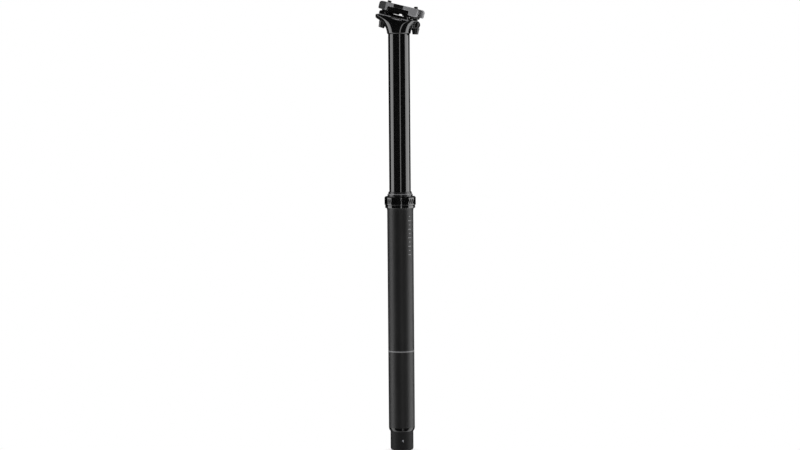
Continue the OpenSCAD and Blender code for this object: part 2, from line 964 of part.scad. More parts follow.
lower_tube();
seal_collar();
wiper_seal();
upper_bushing();
foot_housing();
foot_o_ring();
pivot_pin();
cartridge_rod();
rod_nut();
piston();
piston_ring();
stanchion();
head();
guide_keys();
lower_bushing();
circlip();
cartridge_body();
cartridge_cap();
cap_o_ring();
cartridge_gland();
gland_seal();
floating_piston();
floating_ring();
release_pin();
actuator_lever();
cable_barrel();
lower_clamp();
upper_clamp();
rear_nut();
front_nut();
rear_bolt();
front_bolt();
rear_washer();
front_washer();
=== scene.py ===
# %% [markdown]
# # A dropper seatpost
# A dropper seatpost is a telescope that carries a bicycle saddle. A matte lower tube is clamped in the
# frame, a gloss upper tube slides in it, a forged head carries the saddle clamp, and a lever in the foot
# unlocks the slide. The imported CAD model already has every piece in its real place, in metres. This lesson
# dresses it: smooth turned tubes, rounded forged edges, threads, and finishes made of nodes alone.

# %% Frame and tools
import json
import math

import bmesh
import bpy
import numpy as np
from mathutils import Matrix, Vector
from mathutils.bvhtree import BVHTree
from mathutils.kdtree import KDTree

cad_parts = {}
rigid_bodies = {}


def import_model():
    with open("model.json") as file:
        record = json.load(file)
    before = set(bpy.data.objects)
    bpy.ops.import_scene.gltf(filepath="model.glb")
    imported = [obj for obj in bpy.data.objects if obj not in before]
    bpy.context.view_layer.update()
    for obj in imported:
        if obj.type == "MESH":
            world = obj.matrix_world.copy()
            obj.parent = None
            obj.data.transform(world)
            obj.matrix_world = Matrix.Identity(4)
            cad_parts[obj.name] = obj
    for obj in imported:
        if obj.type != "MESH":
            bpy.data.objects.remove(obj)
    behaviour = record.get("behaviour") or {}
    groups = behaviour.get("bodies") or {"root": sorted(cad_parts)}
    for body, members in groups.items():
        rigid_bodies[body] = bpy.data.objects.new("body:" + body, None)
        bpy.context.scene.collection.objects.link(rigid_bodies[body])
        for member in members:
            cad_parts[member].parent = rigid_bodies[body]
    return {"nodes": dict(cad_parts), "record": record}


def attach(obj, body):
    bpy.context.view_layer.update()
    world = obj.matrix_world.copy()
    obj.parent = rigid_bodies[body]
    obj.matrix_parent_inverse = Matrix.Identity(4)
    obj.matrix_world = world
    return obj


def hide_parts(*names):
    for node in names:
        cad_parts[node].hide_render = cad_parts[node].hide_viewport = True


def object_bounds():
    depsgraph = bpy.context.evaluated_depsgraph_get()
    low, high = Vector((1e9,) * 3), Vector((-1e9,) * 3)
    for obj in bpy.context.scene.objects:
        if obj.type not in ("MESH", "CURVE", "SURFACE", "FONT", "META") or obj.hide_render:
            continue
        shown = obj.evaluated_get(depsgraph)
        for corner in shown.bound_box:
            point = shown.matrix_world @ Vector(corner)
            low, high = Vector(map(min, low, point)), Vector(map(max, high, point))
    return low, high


for spare in list(bpy.data.objects):
    bpy.data.objects.remove(spare)
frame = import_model()
cad_low, cad_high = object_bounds()
NODES = frame["nodes"]
MM = 0.001
print("CAD nodes:", len(NODES), "height in mm:", round((cad_high.z - cad_low.z) / MM, 1))

# %% [markdown]
# ## The camera
# The photograph looks at the post from its side, a little towards the front, from about eye level with
# the upper tube. A long lens keeps the tubes almost parallel.

# %% Camera
VIEW_TURN = math.radians(10)
VIEW_DISTANCE = 2.358
EYE_HEIGHT = 0.131
AIM_RIGHT, AIM_HEIGHT = -0.0004, -0.0166
ROLL = math.radians(0.45)
to_camera = Vector((math.sin(VIEW_TURN), -math.cos(VIEW_TURN), 0))
to_right = Vector((math.cos(VIEW_TURN), math.sin(VIEW_TURN), 0))
aim = to_right * AIM_RIGHT + Vector((0, 0, AIM_HEIGHT))
lens = bpy.data.cameras.new("camera")
lens.lens = 90
lens.sensor_width = 36
camera = bpy.data.objects.new("camera", lens)
bpy.context.scene.collection.objects.link(camera)
camera.location = to_camera * VIEW_DISTANCE + Vector((0, 0, EYE_HEIGHT))
sight = (aim - camera.location).to_track_quat("-Z", "Y").to_matrix().to_4x4()
camera.matrix_world = Matrix.Translation(camera.location) @ sight @ Matrix.Rotation(-ROLL, 4, "Z")
bpy.context.scene.camera = camera
print("Camera at", [round(v, 3) for v in camera.location])

# %% [markdown]
# ## Studio light
# Black gloss shows its surroundings, so the light is built for what the post reflects: a tall softbox at
# each side, a narrow strip close to the camera, and darkness between them. The softboxes reach far below
# the floor, and only the camera and scattered light see the floor. The undersides of the head look
# downwards, so their bright bands can follow the sweep of the arms without a break. A panel above and
# behind the post lights its sloping shoulders, and one far below lights the edges that look down.

# %% Softboxes
UP, DOWN = Vector((0, 0, 1)), Vector((0, 0, -1))


def around(turn):
    """Direction from the post, turned from the camera towards the right, in degrees."""
    turn = math.radians(turn)
    return to_camera * math.cos(turn) + to_right * math.sin(turn)


def light_panel(name, width, height, radiance, place, facing):
    lamp = bpy.data.lights.new(name, "AREA")
    lamp.shape = "RECTANGLE"
    lamp.size, lamp.size_y = width, height
    lamp.energy = radiance * math.pi * width * height
    panel = bpy.data.objects.new(name, lamp)
    bpy.context.scene.collection.objects.link(panel)
    panel.location = place
    panel.rotation_euler = facing.to_track_quat("-Z", "Y").to_euler()
    panel.visible_camera = False
    print(name, "is", width, "by", height, "m")


def softbox(name, turn, distance, width, low, high, radiance):
    """Upright panel that faces the post."""
    place = around(turn) * distance + UP * (low + high) / 2
    light_panel(name, width, high - low, radiance, place, -around(turn))


softbox("left_softbox", turn=-88, distance=1.2, width=0.85, low=-3.2, high=0.85, radiance=2.9)
softbox("right_softbox", turn=93, distance=1.2, width=1.15, low=-3.2, high=0.85, radiance=3.1)
softbox("front_strip", turn=8, distance=1.5, width=0.2, low=-2.6, high=0.95, radiance=2.4)
light_panel("top_softbox", 1.8, 1.0, radiance=5.0, place=UP * 1.9 - to_camera * 1.15, facing=DOWN)
light_panel("low_softbox", 2.6, 2.6, radiance=2.2, place=DOWN * 3.0, facing=UP)

# %% [markdown]
# Between the softboxes a studio is dark. A black tent around the set gives the gloss that darkness, and
# only its mirror-like reflections see the tent.

# %% Black tent
def simple_material(name):
    made = bpy.data.materials.new(name)
    made.use_nodes = True
    return made, made.node_tree.nodes, made.node_tree.links


def mesh_object(name, shape):
    mesh = bpy.data.meshes.new(name)
    shape.to_mesh(mesh)
    shape.free()
    made = bpy.data.objects.new(name, mesh)
    bpy.context.scene.collection.objects.link(made)
    return made


def black_tent(radius, low, high):
    shell = bmesh.new()
    depth = high - low
    bmesh.ops.create_cone(shell, segments=96, radius1=radius, radius2=radius, depth=depth, cap_ends=True)
    tent = mesh_object("black_tent", shell)
    tent.location.z = (low + high) / 2
    made, nodes, _ = simple_material("tent_black")
    cloth = nodes["Principled BSDF"]
    cloth.inputs["Base Color"].default_value = (0.02, 0.02, 0.02, 1)
    cloth.inputs["Roughness"].default_value = 1
    tent.data.materials.append(made)
    for kind in ("camera", "diffuse", "transmission", "shadow"):
        setattr(tent, "visible_" + kind, False)
    print("Tent of", 2 * radius, "by", depth, "m")


black_tent(radius=1.9, low=-3.4, high=2.1)

# %% [markdown]
# The floor is pale and only shows the shadow close to the foot. Further away it fades into the white of
# the background, so no horizon cuts the picture.

# %% World and floor
def white_world(lighting):
    world = bpy.data.worlds.new("studio")
    world.use_nodes = True
    bpy.context.scene.world = world
    nodes, links = world.node_tree.nodes, world.node_tree.links
    path = nodes.new("ShaderNodeLightPath")
    seen = nodes.new("ShaderNodeMath")
    seen.operation = "MAXIMUM"
    clear = nodes.new("ShaderNodeMath")
    clear.operation = "MAXIMUM"
    level = nodes.new("ShaderNodeMapRange")
    level.inputs["To Min"].default_value = lighting
    level.inputs["To Max"].default_value = 1
    links.new(path.outputs["Is Camera Ray"], seen.inputs[0])
    links.new(path.outputs["Is Glossy Ray"], seen.inputs[1])
    links.new(seen.outputs[0], clear.inputs[0])
    links.new(path.outputs["Is Transmission Ray"], clear.inputs[1])
    links.new(clear.outputs[0], level.inputs["Value"])
    nodes["Background"].inputs["Color"].default_value = (1, 1, 1, 1)
    links.new(level.outputs["Result"], nodes["Background"].inputs["Strength"])


def pale_floor(height, radius, reach):
    """Disc below the foot that turns into plain white within the reach of the shadow."""
    disc = bmesh.new()
    bmesh.ops.create_circle(disc, cap_ends=True, segments=96, radius=radius)
    floor = mesh_object("floor", disc)
    floor.location.z = height
    made, nodes, links = simple_material("pale_floor")
    paint = nodes["Principled BSDF"]
    paint.inputs["Base Color"].default_value = (0.9, 0.9, 0.9, 1)
    paint.inputs["Roughness"].default_value = 0.9
    paint.inputs["Specular IOR Level"].default_value = 0
    white = nodes.new("ShaderNodeEmission")
    white.inputs["Strength"].default_value = 1
    place = nodes.new("ShaderNodeTexCoord")
    distance = nodes.new("ShaderNodeVectorMath")
    distance.operation = "LENGTH"
    fade = nodes.new("ShaderNodeMapRange")
    fade.interpolation_type = "SMOOTHSTEP"
    fade.inputs["From Min"].default_value = reach * 0.2
    fade.inputs["From Max"].default_value = reach
    path = nodes.new("ShaderNodeLightPath")
    share = nodes.new("ShaderNodeMath")
    share.operation = "MULTIPLY"
    mix = nodes.new("ShaderNodeMixShader")
    links.new(place.outputs["Object"], distance.inputs[0])
    links.new(distance.outputs["Value"], fade.inputs["Value"])
    links.new(fade.outputs["Result"], share.inputs[0])
    links.new(path.outputs["Is Camera Ray"], share.inputs[1])
    links.new(share.outputs[0], mix.inputs[0])
    links.new(paint.outputs[0], mix.inputs[1])
    links.new(white.outputs[0], mix.inputs[2])
    links.new(mix.outputs[0], nodes["Material Output"].inputs["Surface"])
    floor.data.materials.append(made)
    floor.visible_glossy = False
    floor.visible_shadow = False
    print("Floor at", round(height, 4))


FLOOR_GAP = 0.0005
white_world(lighting=0.55)
pale_floor(cad_low.z - FLOOR_GAP, radius=12, reach=0.025)
bpy.context.scene.view_settings.view_transform = "Standard"

# %% [markdown]
# ## Finishes
# Anodised aluminium is metal under a thin dyed skin: it looks black, reflects like glass at its surface,
# and its roughness says whether it was polished or blasted first. One recipe makes every finish, also
# those of steel, brass and rubber, from two shades, a range of roughness and a grain. Real skins are never
# even, so noise moves colour, roughness and relief a little.

# %% Finish helpers
# A Mix node has its own sockets for each kind of value: first, second and result.
MIX_SOCKETS = {"FLOAT": (2, 3, 0), "RGBA": (6, 7, 2)}
NOISE_LOW, NOISE_HIGH = 0.25, 0.75


def noise(nodes, links, vector, scale, detail):
    made = nodes.new("ShaderNodeTexNoise")
    made.inputs["Scale"].default_value = scale
    made.inputs["Detail"].default_value = detail
    links.new(vector, made.inputs["Vector"])
    return made.outputs["Fac"]


def stretched(nodes, links, scale):
    """Object coordinates, drawn out along the axes that have a small scale."""
    place = nodes.new("ShaderNodeTexCoord")
    mapping = nodes.new("ShaderNodeMapping")
    mapping.inputs["Scale"].default_value = scale
    links.new(place.outputs["Object"], mapping.inputs["Vector"])
    return mapping.outputs["Vector"]


def spread(nodes, links, value, low, high):
    """Stretches noise, which mostly keeps to its middle half, to a range."""
    made = nodes.new("ShaderNodeMapRange")
    made.inputs["From Min"].default_value = NOISE_LOW
    made.inputs["From Max"].default_value = NOISE_HIGH
    made.inputs["To Min"].default_value = low
    made.inputs["To Max"].default_value = high
    links.new(value, made.inputs["Value"])
    return made.outputs["Result"]


def tone(nodes, links, value, dark, light):
    made = nodes.new("ShaderNodeMix")
    made.data_type = "RGBA"
    first, second, out = MIX_SOCKETS["RGBA"]
    made.inputs[first].default_value = (*dark, 1)
    made.inputs[second].default_value = (*light, 1)
    links.new(value, made.inputs["Factor"])
    return made.outputs[out]


def relief(nodes, links, value, strength, depth):
    made = nodes.new("ShaderNodeBump")
    made.inputs["Strength"].default_value = strength
    made.inputs["Distance"].default_value = depth
    links.new(value, made.inputs["Height"])
    return made.outputs["Normal"]


def grey(value):
    return (value, value, value * 1.03)


print("A grey of 0.1 has a little blue:", grey(0.1))

# %% Recipe for a finish
FINISH = {}
CLOUD_SCALE, RELIEF_STRENGTH = 60, 0.5


def finish_material(name, dark, light, rough, grain, depth, ior=1.5, metallic=0.0, lines=(1, 1, 1)):
    """Colour between dark and light, a range of roughness, a grain and its depth in metres.

    Lines draws the grain out along the axes that have a small number.
    """
    made, nodes, links = simple_material(name)
    skin = nodes["Principled BSDF"]
    skin.inputs["IOR"].default_value = ior
    skin.inputs["Metallic"].default_value = metallic
    fine = noise(nodes, links, stretched(nodes, links, lines), grain, detail=3)
    cloud = noise(nodes, links, stretched(nodes, links, (1, 1, 1)), CLOUD_SCALE, detail=5)
    links.new(tone(nodes, links, cloud, dark, light), skin.inputs["Base Color"])
    links.new(spread(nodes, links, cloud, *rough), skin.inputs["Roughness"])
    links.new(relief(nodes, links, fine, RELIEF_STRENGTH, depth), skin.inputs["Normal"])
    FINISH[name] = made


print("Clouds of about", round(1000 / CLOUD_SCALE), "mm move colour and roughness")

# %% [markdown]
# Gloss and satin black are the dyed aluminium, and grey is the blasted clamp. The small parts are oiled
# black screws, steel, bare aluminium, brass, rubber and a slippery plastic for the bushings. Turned metal
# has fine lines around its axis, so its grain is drawn out along or across that axis. The cradle has a
# gloss black of its own, because a painted highlight is marked along its lower edges later.

# %% Finishes of the pieces
LENGTHWISE, TURNED = (1, 1, 0.05), (1, 1, 6)
TURNED_METAL = {"metallic": 1.0, "lines": TURNED}
gloss = grey(0.0010), grey(0.0018), (0.05, 0.09), 900, 0.000002
finish_material("gloss_black", *gloss, ior=1.65, lines=LENGTHWISE)
finish_material("cradle_black", *gloss, ior=1.65)
finish_material("satin_black", grey(0.006), grey(0.010), (0.50, 0.58), 2600, 0.00002, ior=1.2)
finish_material("matte_black", grey(0.004), grey(0.007), (0.42, 0.48), 2400, 0.00003, ior=1.38)
finish_material("clamp_grey", grey(0.16), grey(0.20), (0.30, 0.38), 2600, 0.00002)
finish_material("tick_grey", grey(0.20), grey(0.26), (0.5, 0.6), 2000, 0.000005)
finish_material("bolt_black", grey(0.006), grey(0.012), (0.22, 0.30), 1800, 0.00001, metallic=0.2)
finish_material("steel", grey(0.5), grey(0.62), (0.16, 0.26), 1500, 0.000004, **TURNED_METAL)
finish_material("ground_steel", grey(0.85), grey(0.95), (0.55, 0.65), 1500, 0.000004, metallic=1.0)
finish_material("bare_alloy", grey(0.58), grey(0.7), (0.25, 0.35), 1500, 0.000006, **TURNED_METAL)
brass = (0.5, 0.35, 0.12), (0.62, 0.45, 0.18)
finish_material("brass", *brass, (0.22, 0.32), 1500, 0.000005, metallic=1.0)
finish_material("rubber", grey(0.005), grey(0.008), (0.24, 0.32), 1400, 0.00001)
plastic = (0.10, 0.10, 0.08), (0.15, 0.15, 0.12)
finish_material("bushing", *plastic, (0.45, 0.55), 1200, 0.00001)
print("Finishes:", ", ".join(FINISH))

# %% [markdown]
# The lower tube is blasted before it is dyed, so it is matte. A laser marks it after that: one ring shows
# how far the post has to sit in the frame. The mark has no thickness, so it lives in the material, where
# the height along the tube says which part is marked. In the same way the tube's rounded end is made to
# look polished, and a painted highlight, a lighter band, lies along the wiper's shoulder.

# %% Marked finishes
INSERTION_LINE, LINE_WIDTH = -165.8, 1.5
TUBE_END, END_WIDTH = -258.4, 3.6
# Height and width in mm of the painted highlight along the wiper's shoulder.
WIPER_HIGHLIGHT, WIPER_HIGHLIGHT_WIDTH = 20.1, 0.9


def overlay(nodes, links, socket, share, kind, value):
    """Where the share is 1, a socket gets a new value instead of what it is linked to."""
    first, second, out = MIX_SOCKETS[kind]
    mix = nodes.new("ShaderNodeMix")
    mix.data_type = kind
    mix.inputs[second].default_value = value
    links.new(share, mix.inputs["Factor"])
    links.new(socket.links[0].from_socket, mix.inputs[first])
    links.new(mix.outputs[out], socket)


def within(nodes, links, own, spans):
    """Share that is 1 inside a width around a middle, in mm, along each named axis of a place."""
    place = nodes.new("ShaderNodeTexCoord")
    turned = nodes.new("ShaderNodeMapping")
    turned.vector_type = "TEXTURE"
    turned.inputs["Location"].default_value = own.to_translation()
    turned.inputs["Rotation"].default_value = own.to_euler()
    parts = nodes.new("ShaderNodeSeparateXYZ")
    links.new(place.outputs["Object"], turned.inputs["Vector"])
    links.new(turned.outputs["Vector"], parts.inputs[0])
    share = None
    for axis, (middle, width) in spans.items():
        mark = nodes.new("ShaderNodeMath")
        mark.operation = "COMPARE"
        mark.inputs[1].default_value = middle * MM
        mark.inputs[2].default_value = width * MM / 2
        links.new(parts.outputs[axis.upper()], mark.inputs[0])
        if share:
            both = nodes.new("ShaderNodeMath")
            both.operation = "MULTIPLY"
            links.new(share, both.inputs[0])
            links.new(mark.outputs[0], both.inputs[1])
            mark = both
        share = mark.outputs[0]
    return share


def mark_finish(name, colour, rough=None, own=Matrix(), **spans):
    """Changes the colour of a finish, and its roughness if given, within the spans."""
    nodes, links = FINISH[name].node_tree.nodes, FINISH[name].node_tree.links
    skin = nodes["Principled BSDF"]
    share = within(nodes, links, own, spans)
    overlay(nodes, links, skin.inputs["Base Color"], share, "RGBA", (*colour, 1))
    if rough is not None:
        overlay(nodes, links, skin.inputs["Roughness"], share, "FLOAT", rough)


mark_finish("matte_black", grey(0.12), z=(INSERTION_LINE, LINE_WIDTH))
mark_finish("matte_black", grey(0.002), 0.12, z=(TUBE_END, END_WIDTH))
# Painted highlight: a lighter band along the wiper's shoulder edge.
mark_finish("rubber", grey(0.14), z=(WIPER_HIGHLIGHT, WIPER_HIGHLIGHT_WIDTH))
print("Ring at", INSERTION_LINE, "mm, polished end at", TUBE_END, "mm")

# %% [markdown]
# ## Turned pieces
# A lathe turns a round piece from one profile, so the tubes, the wiper, the collar and the bolts start as
# profiles too: a list of radii and heights, with each corner rounded, spun around the axis. Rounded corners
# matter more than anything else on a black object, because they are what catches the light.

# %% Lathe
STRAIGHT, TINY, CORNER_SHARE = 3.1, 1e-4, 0.45


def rounded(profile, default=0.25, steps=5):
    """Closed profile with rounded corners. A third number in a point is the radius of its own corner."""
    made = []
    for i, corner in enumerate(profile):
        at = Vector(corner[:2])
        before = Vector(profile[i - 1][:2])
        after = Vector(profile[(i + 1) % len(profile)][:2])
        radius = corner[2] if len(corner) > 2 else default
        back, ahead = before - at, after - at
        angle = back.angle(ahead)
        room = CORNER_SHARE * min(back.length, ahead.length)
        cut = min(radius / math.tan(angle / 2), room) if angle < STRAIGHT else 0
        if cut < TINY:
            made.append(at)
            continue
        start, end = at + back.normalized() * cut, at + ahead.normalized() * cut
        for k in range(steps + 1):
            t = k / steps
            made.append(start * (1 - t) ** 2 + at * 2 * t * (1 - t) + end * t**2)
    return made


def lathe(name, outline, segments=192, place=None):
    """Closed outline of (radius, height) points in mm, spun around the axis and put in place."""
    shape = bmesh.new()
    rings = []
    for r, z in outline:
        if r < TINY:
            rings.append([shape.verts.new((0, 0, z * MM))] * segments)
            continue
        turns = [2 * math.pi * k / segments for k in range(segments)]
        rings.append([shape.verts.new((r * MM * math.cos(t), r * MM * math.sin(t), z * MM)) for t in turns])
    for low, high in zip(rings, rings[1:] + rings[:1]):
        for k in range(segments):
            n = (k + 1) % segments
            corners = list(dict.fromkeys([low[k], low[n], high[n], high[k]]))
            if len(corners) > 2:
                shape.faces.new(corners)
    bmesh.ops.recalc_face_normals(shape, faces=shape.faces)
    if place is not None:
        shape.transform(place)
    return mesh_object(name, shape)


print("A square with rounded corners has", len(rounded([(1, 0), (2, 0), (2, 1), (1, 1)])), "points")

# %% Dressing a piece
SHARP = math.radians(40)


def dress(piece, body, slot, *nodes, finish=None):
    """Gives a finished piece its material, its smooth shading and its body, and hides the nodes it stands
    for.
    """
    piece.data.materials.clear()
    piece.data.materials.append(FINISH[finish or slot])
    piece.data.shade_smooth()
    piece.data.set_sharp_from_angle(angle=SHARP)
    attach(piece, body)
    if nodes:
        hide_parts(*nodes)
    print(piece.name, "has", len(piece.data.polygons), "faces")


print("Edges sharper than", round(math.degrees(SHARP)), "degrees stay sharp")

# %% [markdown]
# The lower tube is straight where the frame holds it. Its top flares under the collar, and its lower end
# is rounded so that it slips into a frame without scraping.

# %% Lower tube and upper tube
TUBE_R, TUBE_BORE, TUBE_LEN = 15.45, 13.85, 261.0
END_ROUND_H, END_ROUND_IN = 4.2, 1.3
FLARE_H, FLARE_OUT, NECK_R, NECK_TOP = 3.8, 0.75, 15.8, 12.6
STANCHION_R, STANCHION_BORE = 12.7, 11.0
STANCHION_LOW, STANCHION_TOP = -70.0, 208.0
LEAD_IN, LEAD_H = 0.5, 1.0


def hollow_arc(r, z, height, depth, upwards, steps=12):
    """Points where a wall moves by depth over a height, along an arc that starts tangent to the wall."""
    radius = (height**2 + depth**2) / (2 * abs(depth))
    made = []
    for k in range(steps + 1):
        h = height * k / steps
        shift = radius - math.sqrt(radius**2 - h**2)
        made.append((r + math.copysign(shift, depth), z + (h if upwards else -h), 0))
    return made


end_round = hollow_arc(TUBE_R, END_ROUND_H - TUBE_LEN, END_ROUND_H, -END_ROUND_IN, upwards=False)
tube_outline = [(TUBE_BORE, -TUBE_LEN), *reversed(end_round)]
tube_outline += hollow_arc(TUBE_R, 0, FLARE_H, FLARE_OUT, upwards=True)
tube_outline += [(NECK_R, FLARE_H, 0), (NECK_R, NECK_TOP), (TUBE_BORE, NECK_TOP)]
dress(lathe("tube_sleeve", rounded(tube_outline)), "lower", "matte_black", "lower_tube")
stanchion_outline = [
    (STANCHION_BORE, STANCHION_LOW), (STANCHION_R - LEAD_IN, STANCHION_LOW, 0.5),
    (STANCHION_R, STANCHION_LOW + LEAD_H, 1), (STANCHION_R, STANCHION_TOP, 0.3),
    (STANCHION_BORE, STANCHION_TOP),
]
dress(lathe("upper_tube", rounded(stanchion_outline)), "upper", "gloss_black", "stanchion")

# %% [markdown]
# The wiper is a ring of moulded rubber that keeps mud out. Its shoulder is a crisp little step with a
# painted highlight along it, which together are the light line above the collar, and its lip leans on the
# upper tube.

# %% Wiper
COLLAR_TOP, WIPER_TOP, WIPER_R, WIPER_LOW = 17.5, 23.0, 14.9, 13.0
WIPER_FLANGE_R, WIPER_FLANGE_TOP = NECK_R - 0.05, COLLAR_TOP - 1.25
SHOULDER, SHOULDER_IN, SHOULDER_RISE = 19.9, 0.7, 0.4
LIP, LIP_WALL, LIP_BREAK = STANCHION_R + 0.04, 0.6, Vector((0.2, 0.1))
wiper_outline = [
    (LIP, WIPER_LOW), (WIPER_FLANGE_R, WIPER_LOW), (WIPER_FLANGE_R, WIPER_FLANGE_TOP),
    (WIPER_R, WIPER_FLANGE_TOP), (WIPER_R, SHOULDER, 0.1),
    (WIPER_R - SHOULDER_IN, SHOULDER + SHOULDER_RISE, 0.1),
    (LIP + LIP_WALL + LIP_BREAK.x, WIPER_TOP - LIP_BREAK.y, 0.15),
    (LIP + LIP_WALL, WIPER_TOP, 0.1), (LIP, WIPER_TOP, 0.1),
]
dress(lathe("wiper_lip", rounded(wiper_outline)), "lower", "rubber", "wiper_seal")

# %% [markdown]
# ## Rounded edges on forged and milled pieces
# The head, the clamp and the foot have edges where many surfaces meet, and a bevel often fails on such a
# mesh. Here the sharp shape is remeshed into small even quads. Points away from an edge go back onto the
# exact surface, and points near an edge are relaxed, so every edge is rounded and every face stays true.

# %% Softened edges
CREASE = math.radians(24)
FREE_REACH, RELAX, WELD = 1.2, 0.6, 1e-6


def evaluated_mesh(piece):
    mesh = bpy.data.meshes.new_from_object(piece.evaluated_get(bpy.context.evaluated_depsgraph_get()))
    piece.modifiers.clear()
    piece.data = mesh
    return piece


def sharp_points(shape, spacing):
    """Points along every edge that is creased or open."""
    made = []
    for edge in shape.edges:
        if len(edge.link_faces) != 2 or edge.calc_face_angle(0) > CREASE:
            a, b = edge.verts[0].co, edge.verts[1].co
            count = max(1, int((b - a).length / spacing))
            made += [a.lerp(b, k / count) for k in range(count + 1)]
    return made


def soften(piece, voxel, fillet, rounds=14):
    """Rounds the edges of a closed piece; voxel and fillet are in mm."""
    voxel, fillet = voxel * MM, fillet * MM
    shape = bmesh.new()
    shape.from_mesh(piece.data)
    bmesh.ops.remove_doubles(shape, verts=shape.verts, dist=WELD)
    exact = BVHTree.FromBMesh(shape)
    edges = sharp_points(shape, voxel / 2)
    shape.to_mesh(piece.data)
    shape.free()
    tree = KDTree(len(edges))
    for i, point in enumerate(edges):
        tree.insert(point, i)
    tree.balance()
    remesh = piece.modifiers.new("remesh", "REMESH")
    remesh.mode = "VOXEL"
    remesh.voxel_size = voxel
    evaluated_mesh(piece)
    mesh = piece.data
    near = np.empty(len(mesh.vertices))
    spots = np.empty((len(mesh.vertices), 3))
    for i, vertex in enumerate(mesh.vertices):
        spots[i] = exact.find_nearest(vertex.co)[0]
        near[i] = tree.find(vertex.co)[2]
    free = np.clip(FREE_REACH - near / fillet, 0, 1)[:, None]
    ends = np.empty(len(mesh.edges) * 2, dtype=np.int32)
    mesh.edges.foreach_get("vertices", ends)
    ends = ends.reshape(-1, 2)
    count = np.bincount(ends.ravel(), minlength=len(spots))[:, None]
    for _ in range(rounds):
        total = np.zeros_like(spots)
        np.add.at(total, ends[:, 0], spots[ends[:, 1]])
        np.add.at(total, ends[:, 1], spots[ends[:, 0]])
        spots += free * RELAX * (total / count - spots)
    mesh.vertices.foreach_set("co", spots.ravel())
    mesh.update()
    return piece


print("Edges bent by more than", round(math.degrees(CREASE)), "degrees are rounded")

# %% [markdown]
# Bolts, rails and tube have to fit the clamp and the foot, so these pieces keep the exact outline of the
# CAD model, and so does the lever's pin. Copies of their meshes are softened: the forged cradle by a large
# radius, the milled bridge and the foot by smaller ones, and the pin only a little.

# %% Clamp, foot and pin
def cad_copy(name, node):
    """Copy of a CAD node's mesh, to be finished as a piece of its own."""
    made = bpy.data.objects.new(name, NODES[node].data.copy())
    bpy.context.scene.collection.objects.link(made)
    return made


bridge = soften(cad_copy("clamp_bridge", "upper_clamp"), voxel=0.3, fillet=0.7)
dress(bridge, "clamp", "clamp_grey", "upper_clamp")
cradle = soften(cad_copy("clamp_cradle", "lower_clamp"), voxel=0.3, fillet=1.6, rounds=60)
dress(cradle, "clamp", "satin_black", "lower_clamp", finish="cradle_black")
foot = soften(cad_copy("foot_shell", "foot_housing"), voxel=0.3, fillet=0.5)
dress(foot, "lower", "satin_black", "foot_housing")
lever_pin = soften(cad_copy("lever_pin", "pivot_pin"), voxel=0.15, fillet=0.3)
dress(lever_pin, "lower", "steel", "pivot_pin", finish="ground_steel")

# %% [markdown]
# ## The head
# The forged head grows out of the round tube: a long sweep to the rear bolt, a shorter one to the front,
# and hardly any towards the sides. It is a loft, so each level is a rounded outline whose reach follows
# an arc and then a straight lean. Bores, the hollow seat and the bolt pockets are then cut from it.

# %% Places on the head
HEAD_TILT, CLAMP_TILT = 12.0, 14.0
SEAT = Vector((2.2, 226.9))
CRADLE_R, CRADLE_DIP = 25.0, 3.4
EAR_SPREAD, EAR_DROP, EAR_R, EAR_W = 19.1, 4.4, 4.6, 16.0
NUT_SPREAD, NUT_H, NUT_R = 16.9, 10.6, 4.0
HEAD_W, ARM_TOP, ARM_REACH, NECK_OUT = 29.0, 23.7, 27.3, 1.2
SIDES = ((-1, "rear"), (1, "front"))


def lean(p, degrees):
    a = math.radians(degrees)
    return Vector((p[0] * math.cos(a) + p[1] * math.sin(a), p[1] * math.cos(a) - p[0] * math.sin(a)))


def from_head(p):
    return SEAT + lean(p, HEAD_TILT)


CRADLE_AXIS = from_head((0, CRADLE_R - CRADLE_DIP))


def bolt_line(side):
    """Pivot of a bolt, its lean in radians and its reach to the cross nut."""
    pivot = from_head((side * EAR_SPREAD, -EAR_DROP))
    nut = CRADLE_AXIS + lean((side * NUT_SPREAD, NUT_H - CRADLE_R + CRADLE_DIP), CLAMP_TILT)
    way = nut - pivot
    return pivot, math.atan2(way.x, way.y), way.length


def side_place(p, turn=0.0):
    """Matrix that puts a piece at a forward and up place, turned in the side view."""
    return Matrix.Translation(Vector((p[0], 0, p[1])) * MM) @ Matrix.Rotation(turn, 4, "Y")


for side, word in SIDES:
    pivot, turn, reach = bolt_line(side)
    print(word, "bolt leans", round(math.degrees(turn), 1), "degrees, reach", round(reach, 2), "mm")

# %% Loft
REAR_SWEEP, FRONT_SWEEP, SIDE_SWEEP = 20.0, 13.5, 55.0
SWEEP_END = math.radians(55)
SPIGOT_R, SPIGOT_DEPTH = STANCHION_BORE - 0.02, 12
SPARE_TOP, SQUARENESS = 0.5, 0.6


def sweep(h, radius):
    """How far a wall has moved out at a height: along an arc, then straight on as the arc ends."""
    arc_h = radius * math.sin(SWEEP_END)
    if h < arc_h:
        return radius - math.sqrt(radius**2 - h**2)
    return radius * (1 - math.cos(SWEEP_END)) + (h - arc_h) * math.tan(SWEEP_END)


def neck(h):
    """Small rounded step from the tube to the head."""
    if 0 < h < NECK_OUT:
        return math.sqrt(h * (2 * NECK_OUT - h))
    return NECK_OUT if h > 0 else 0


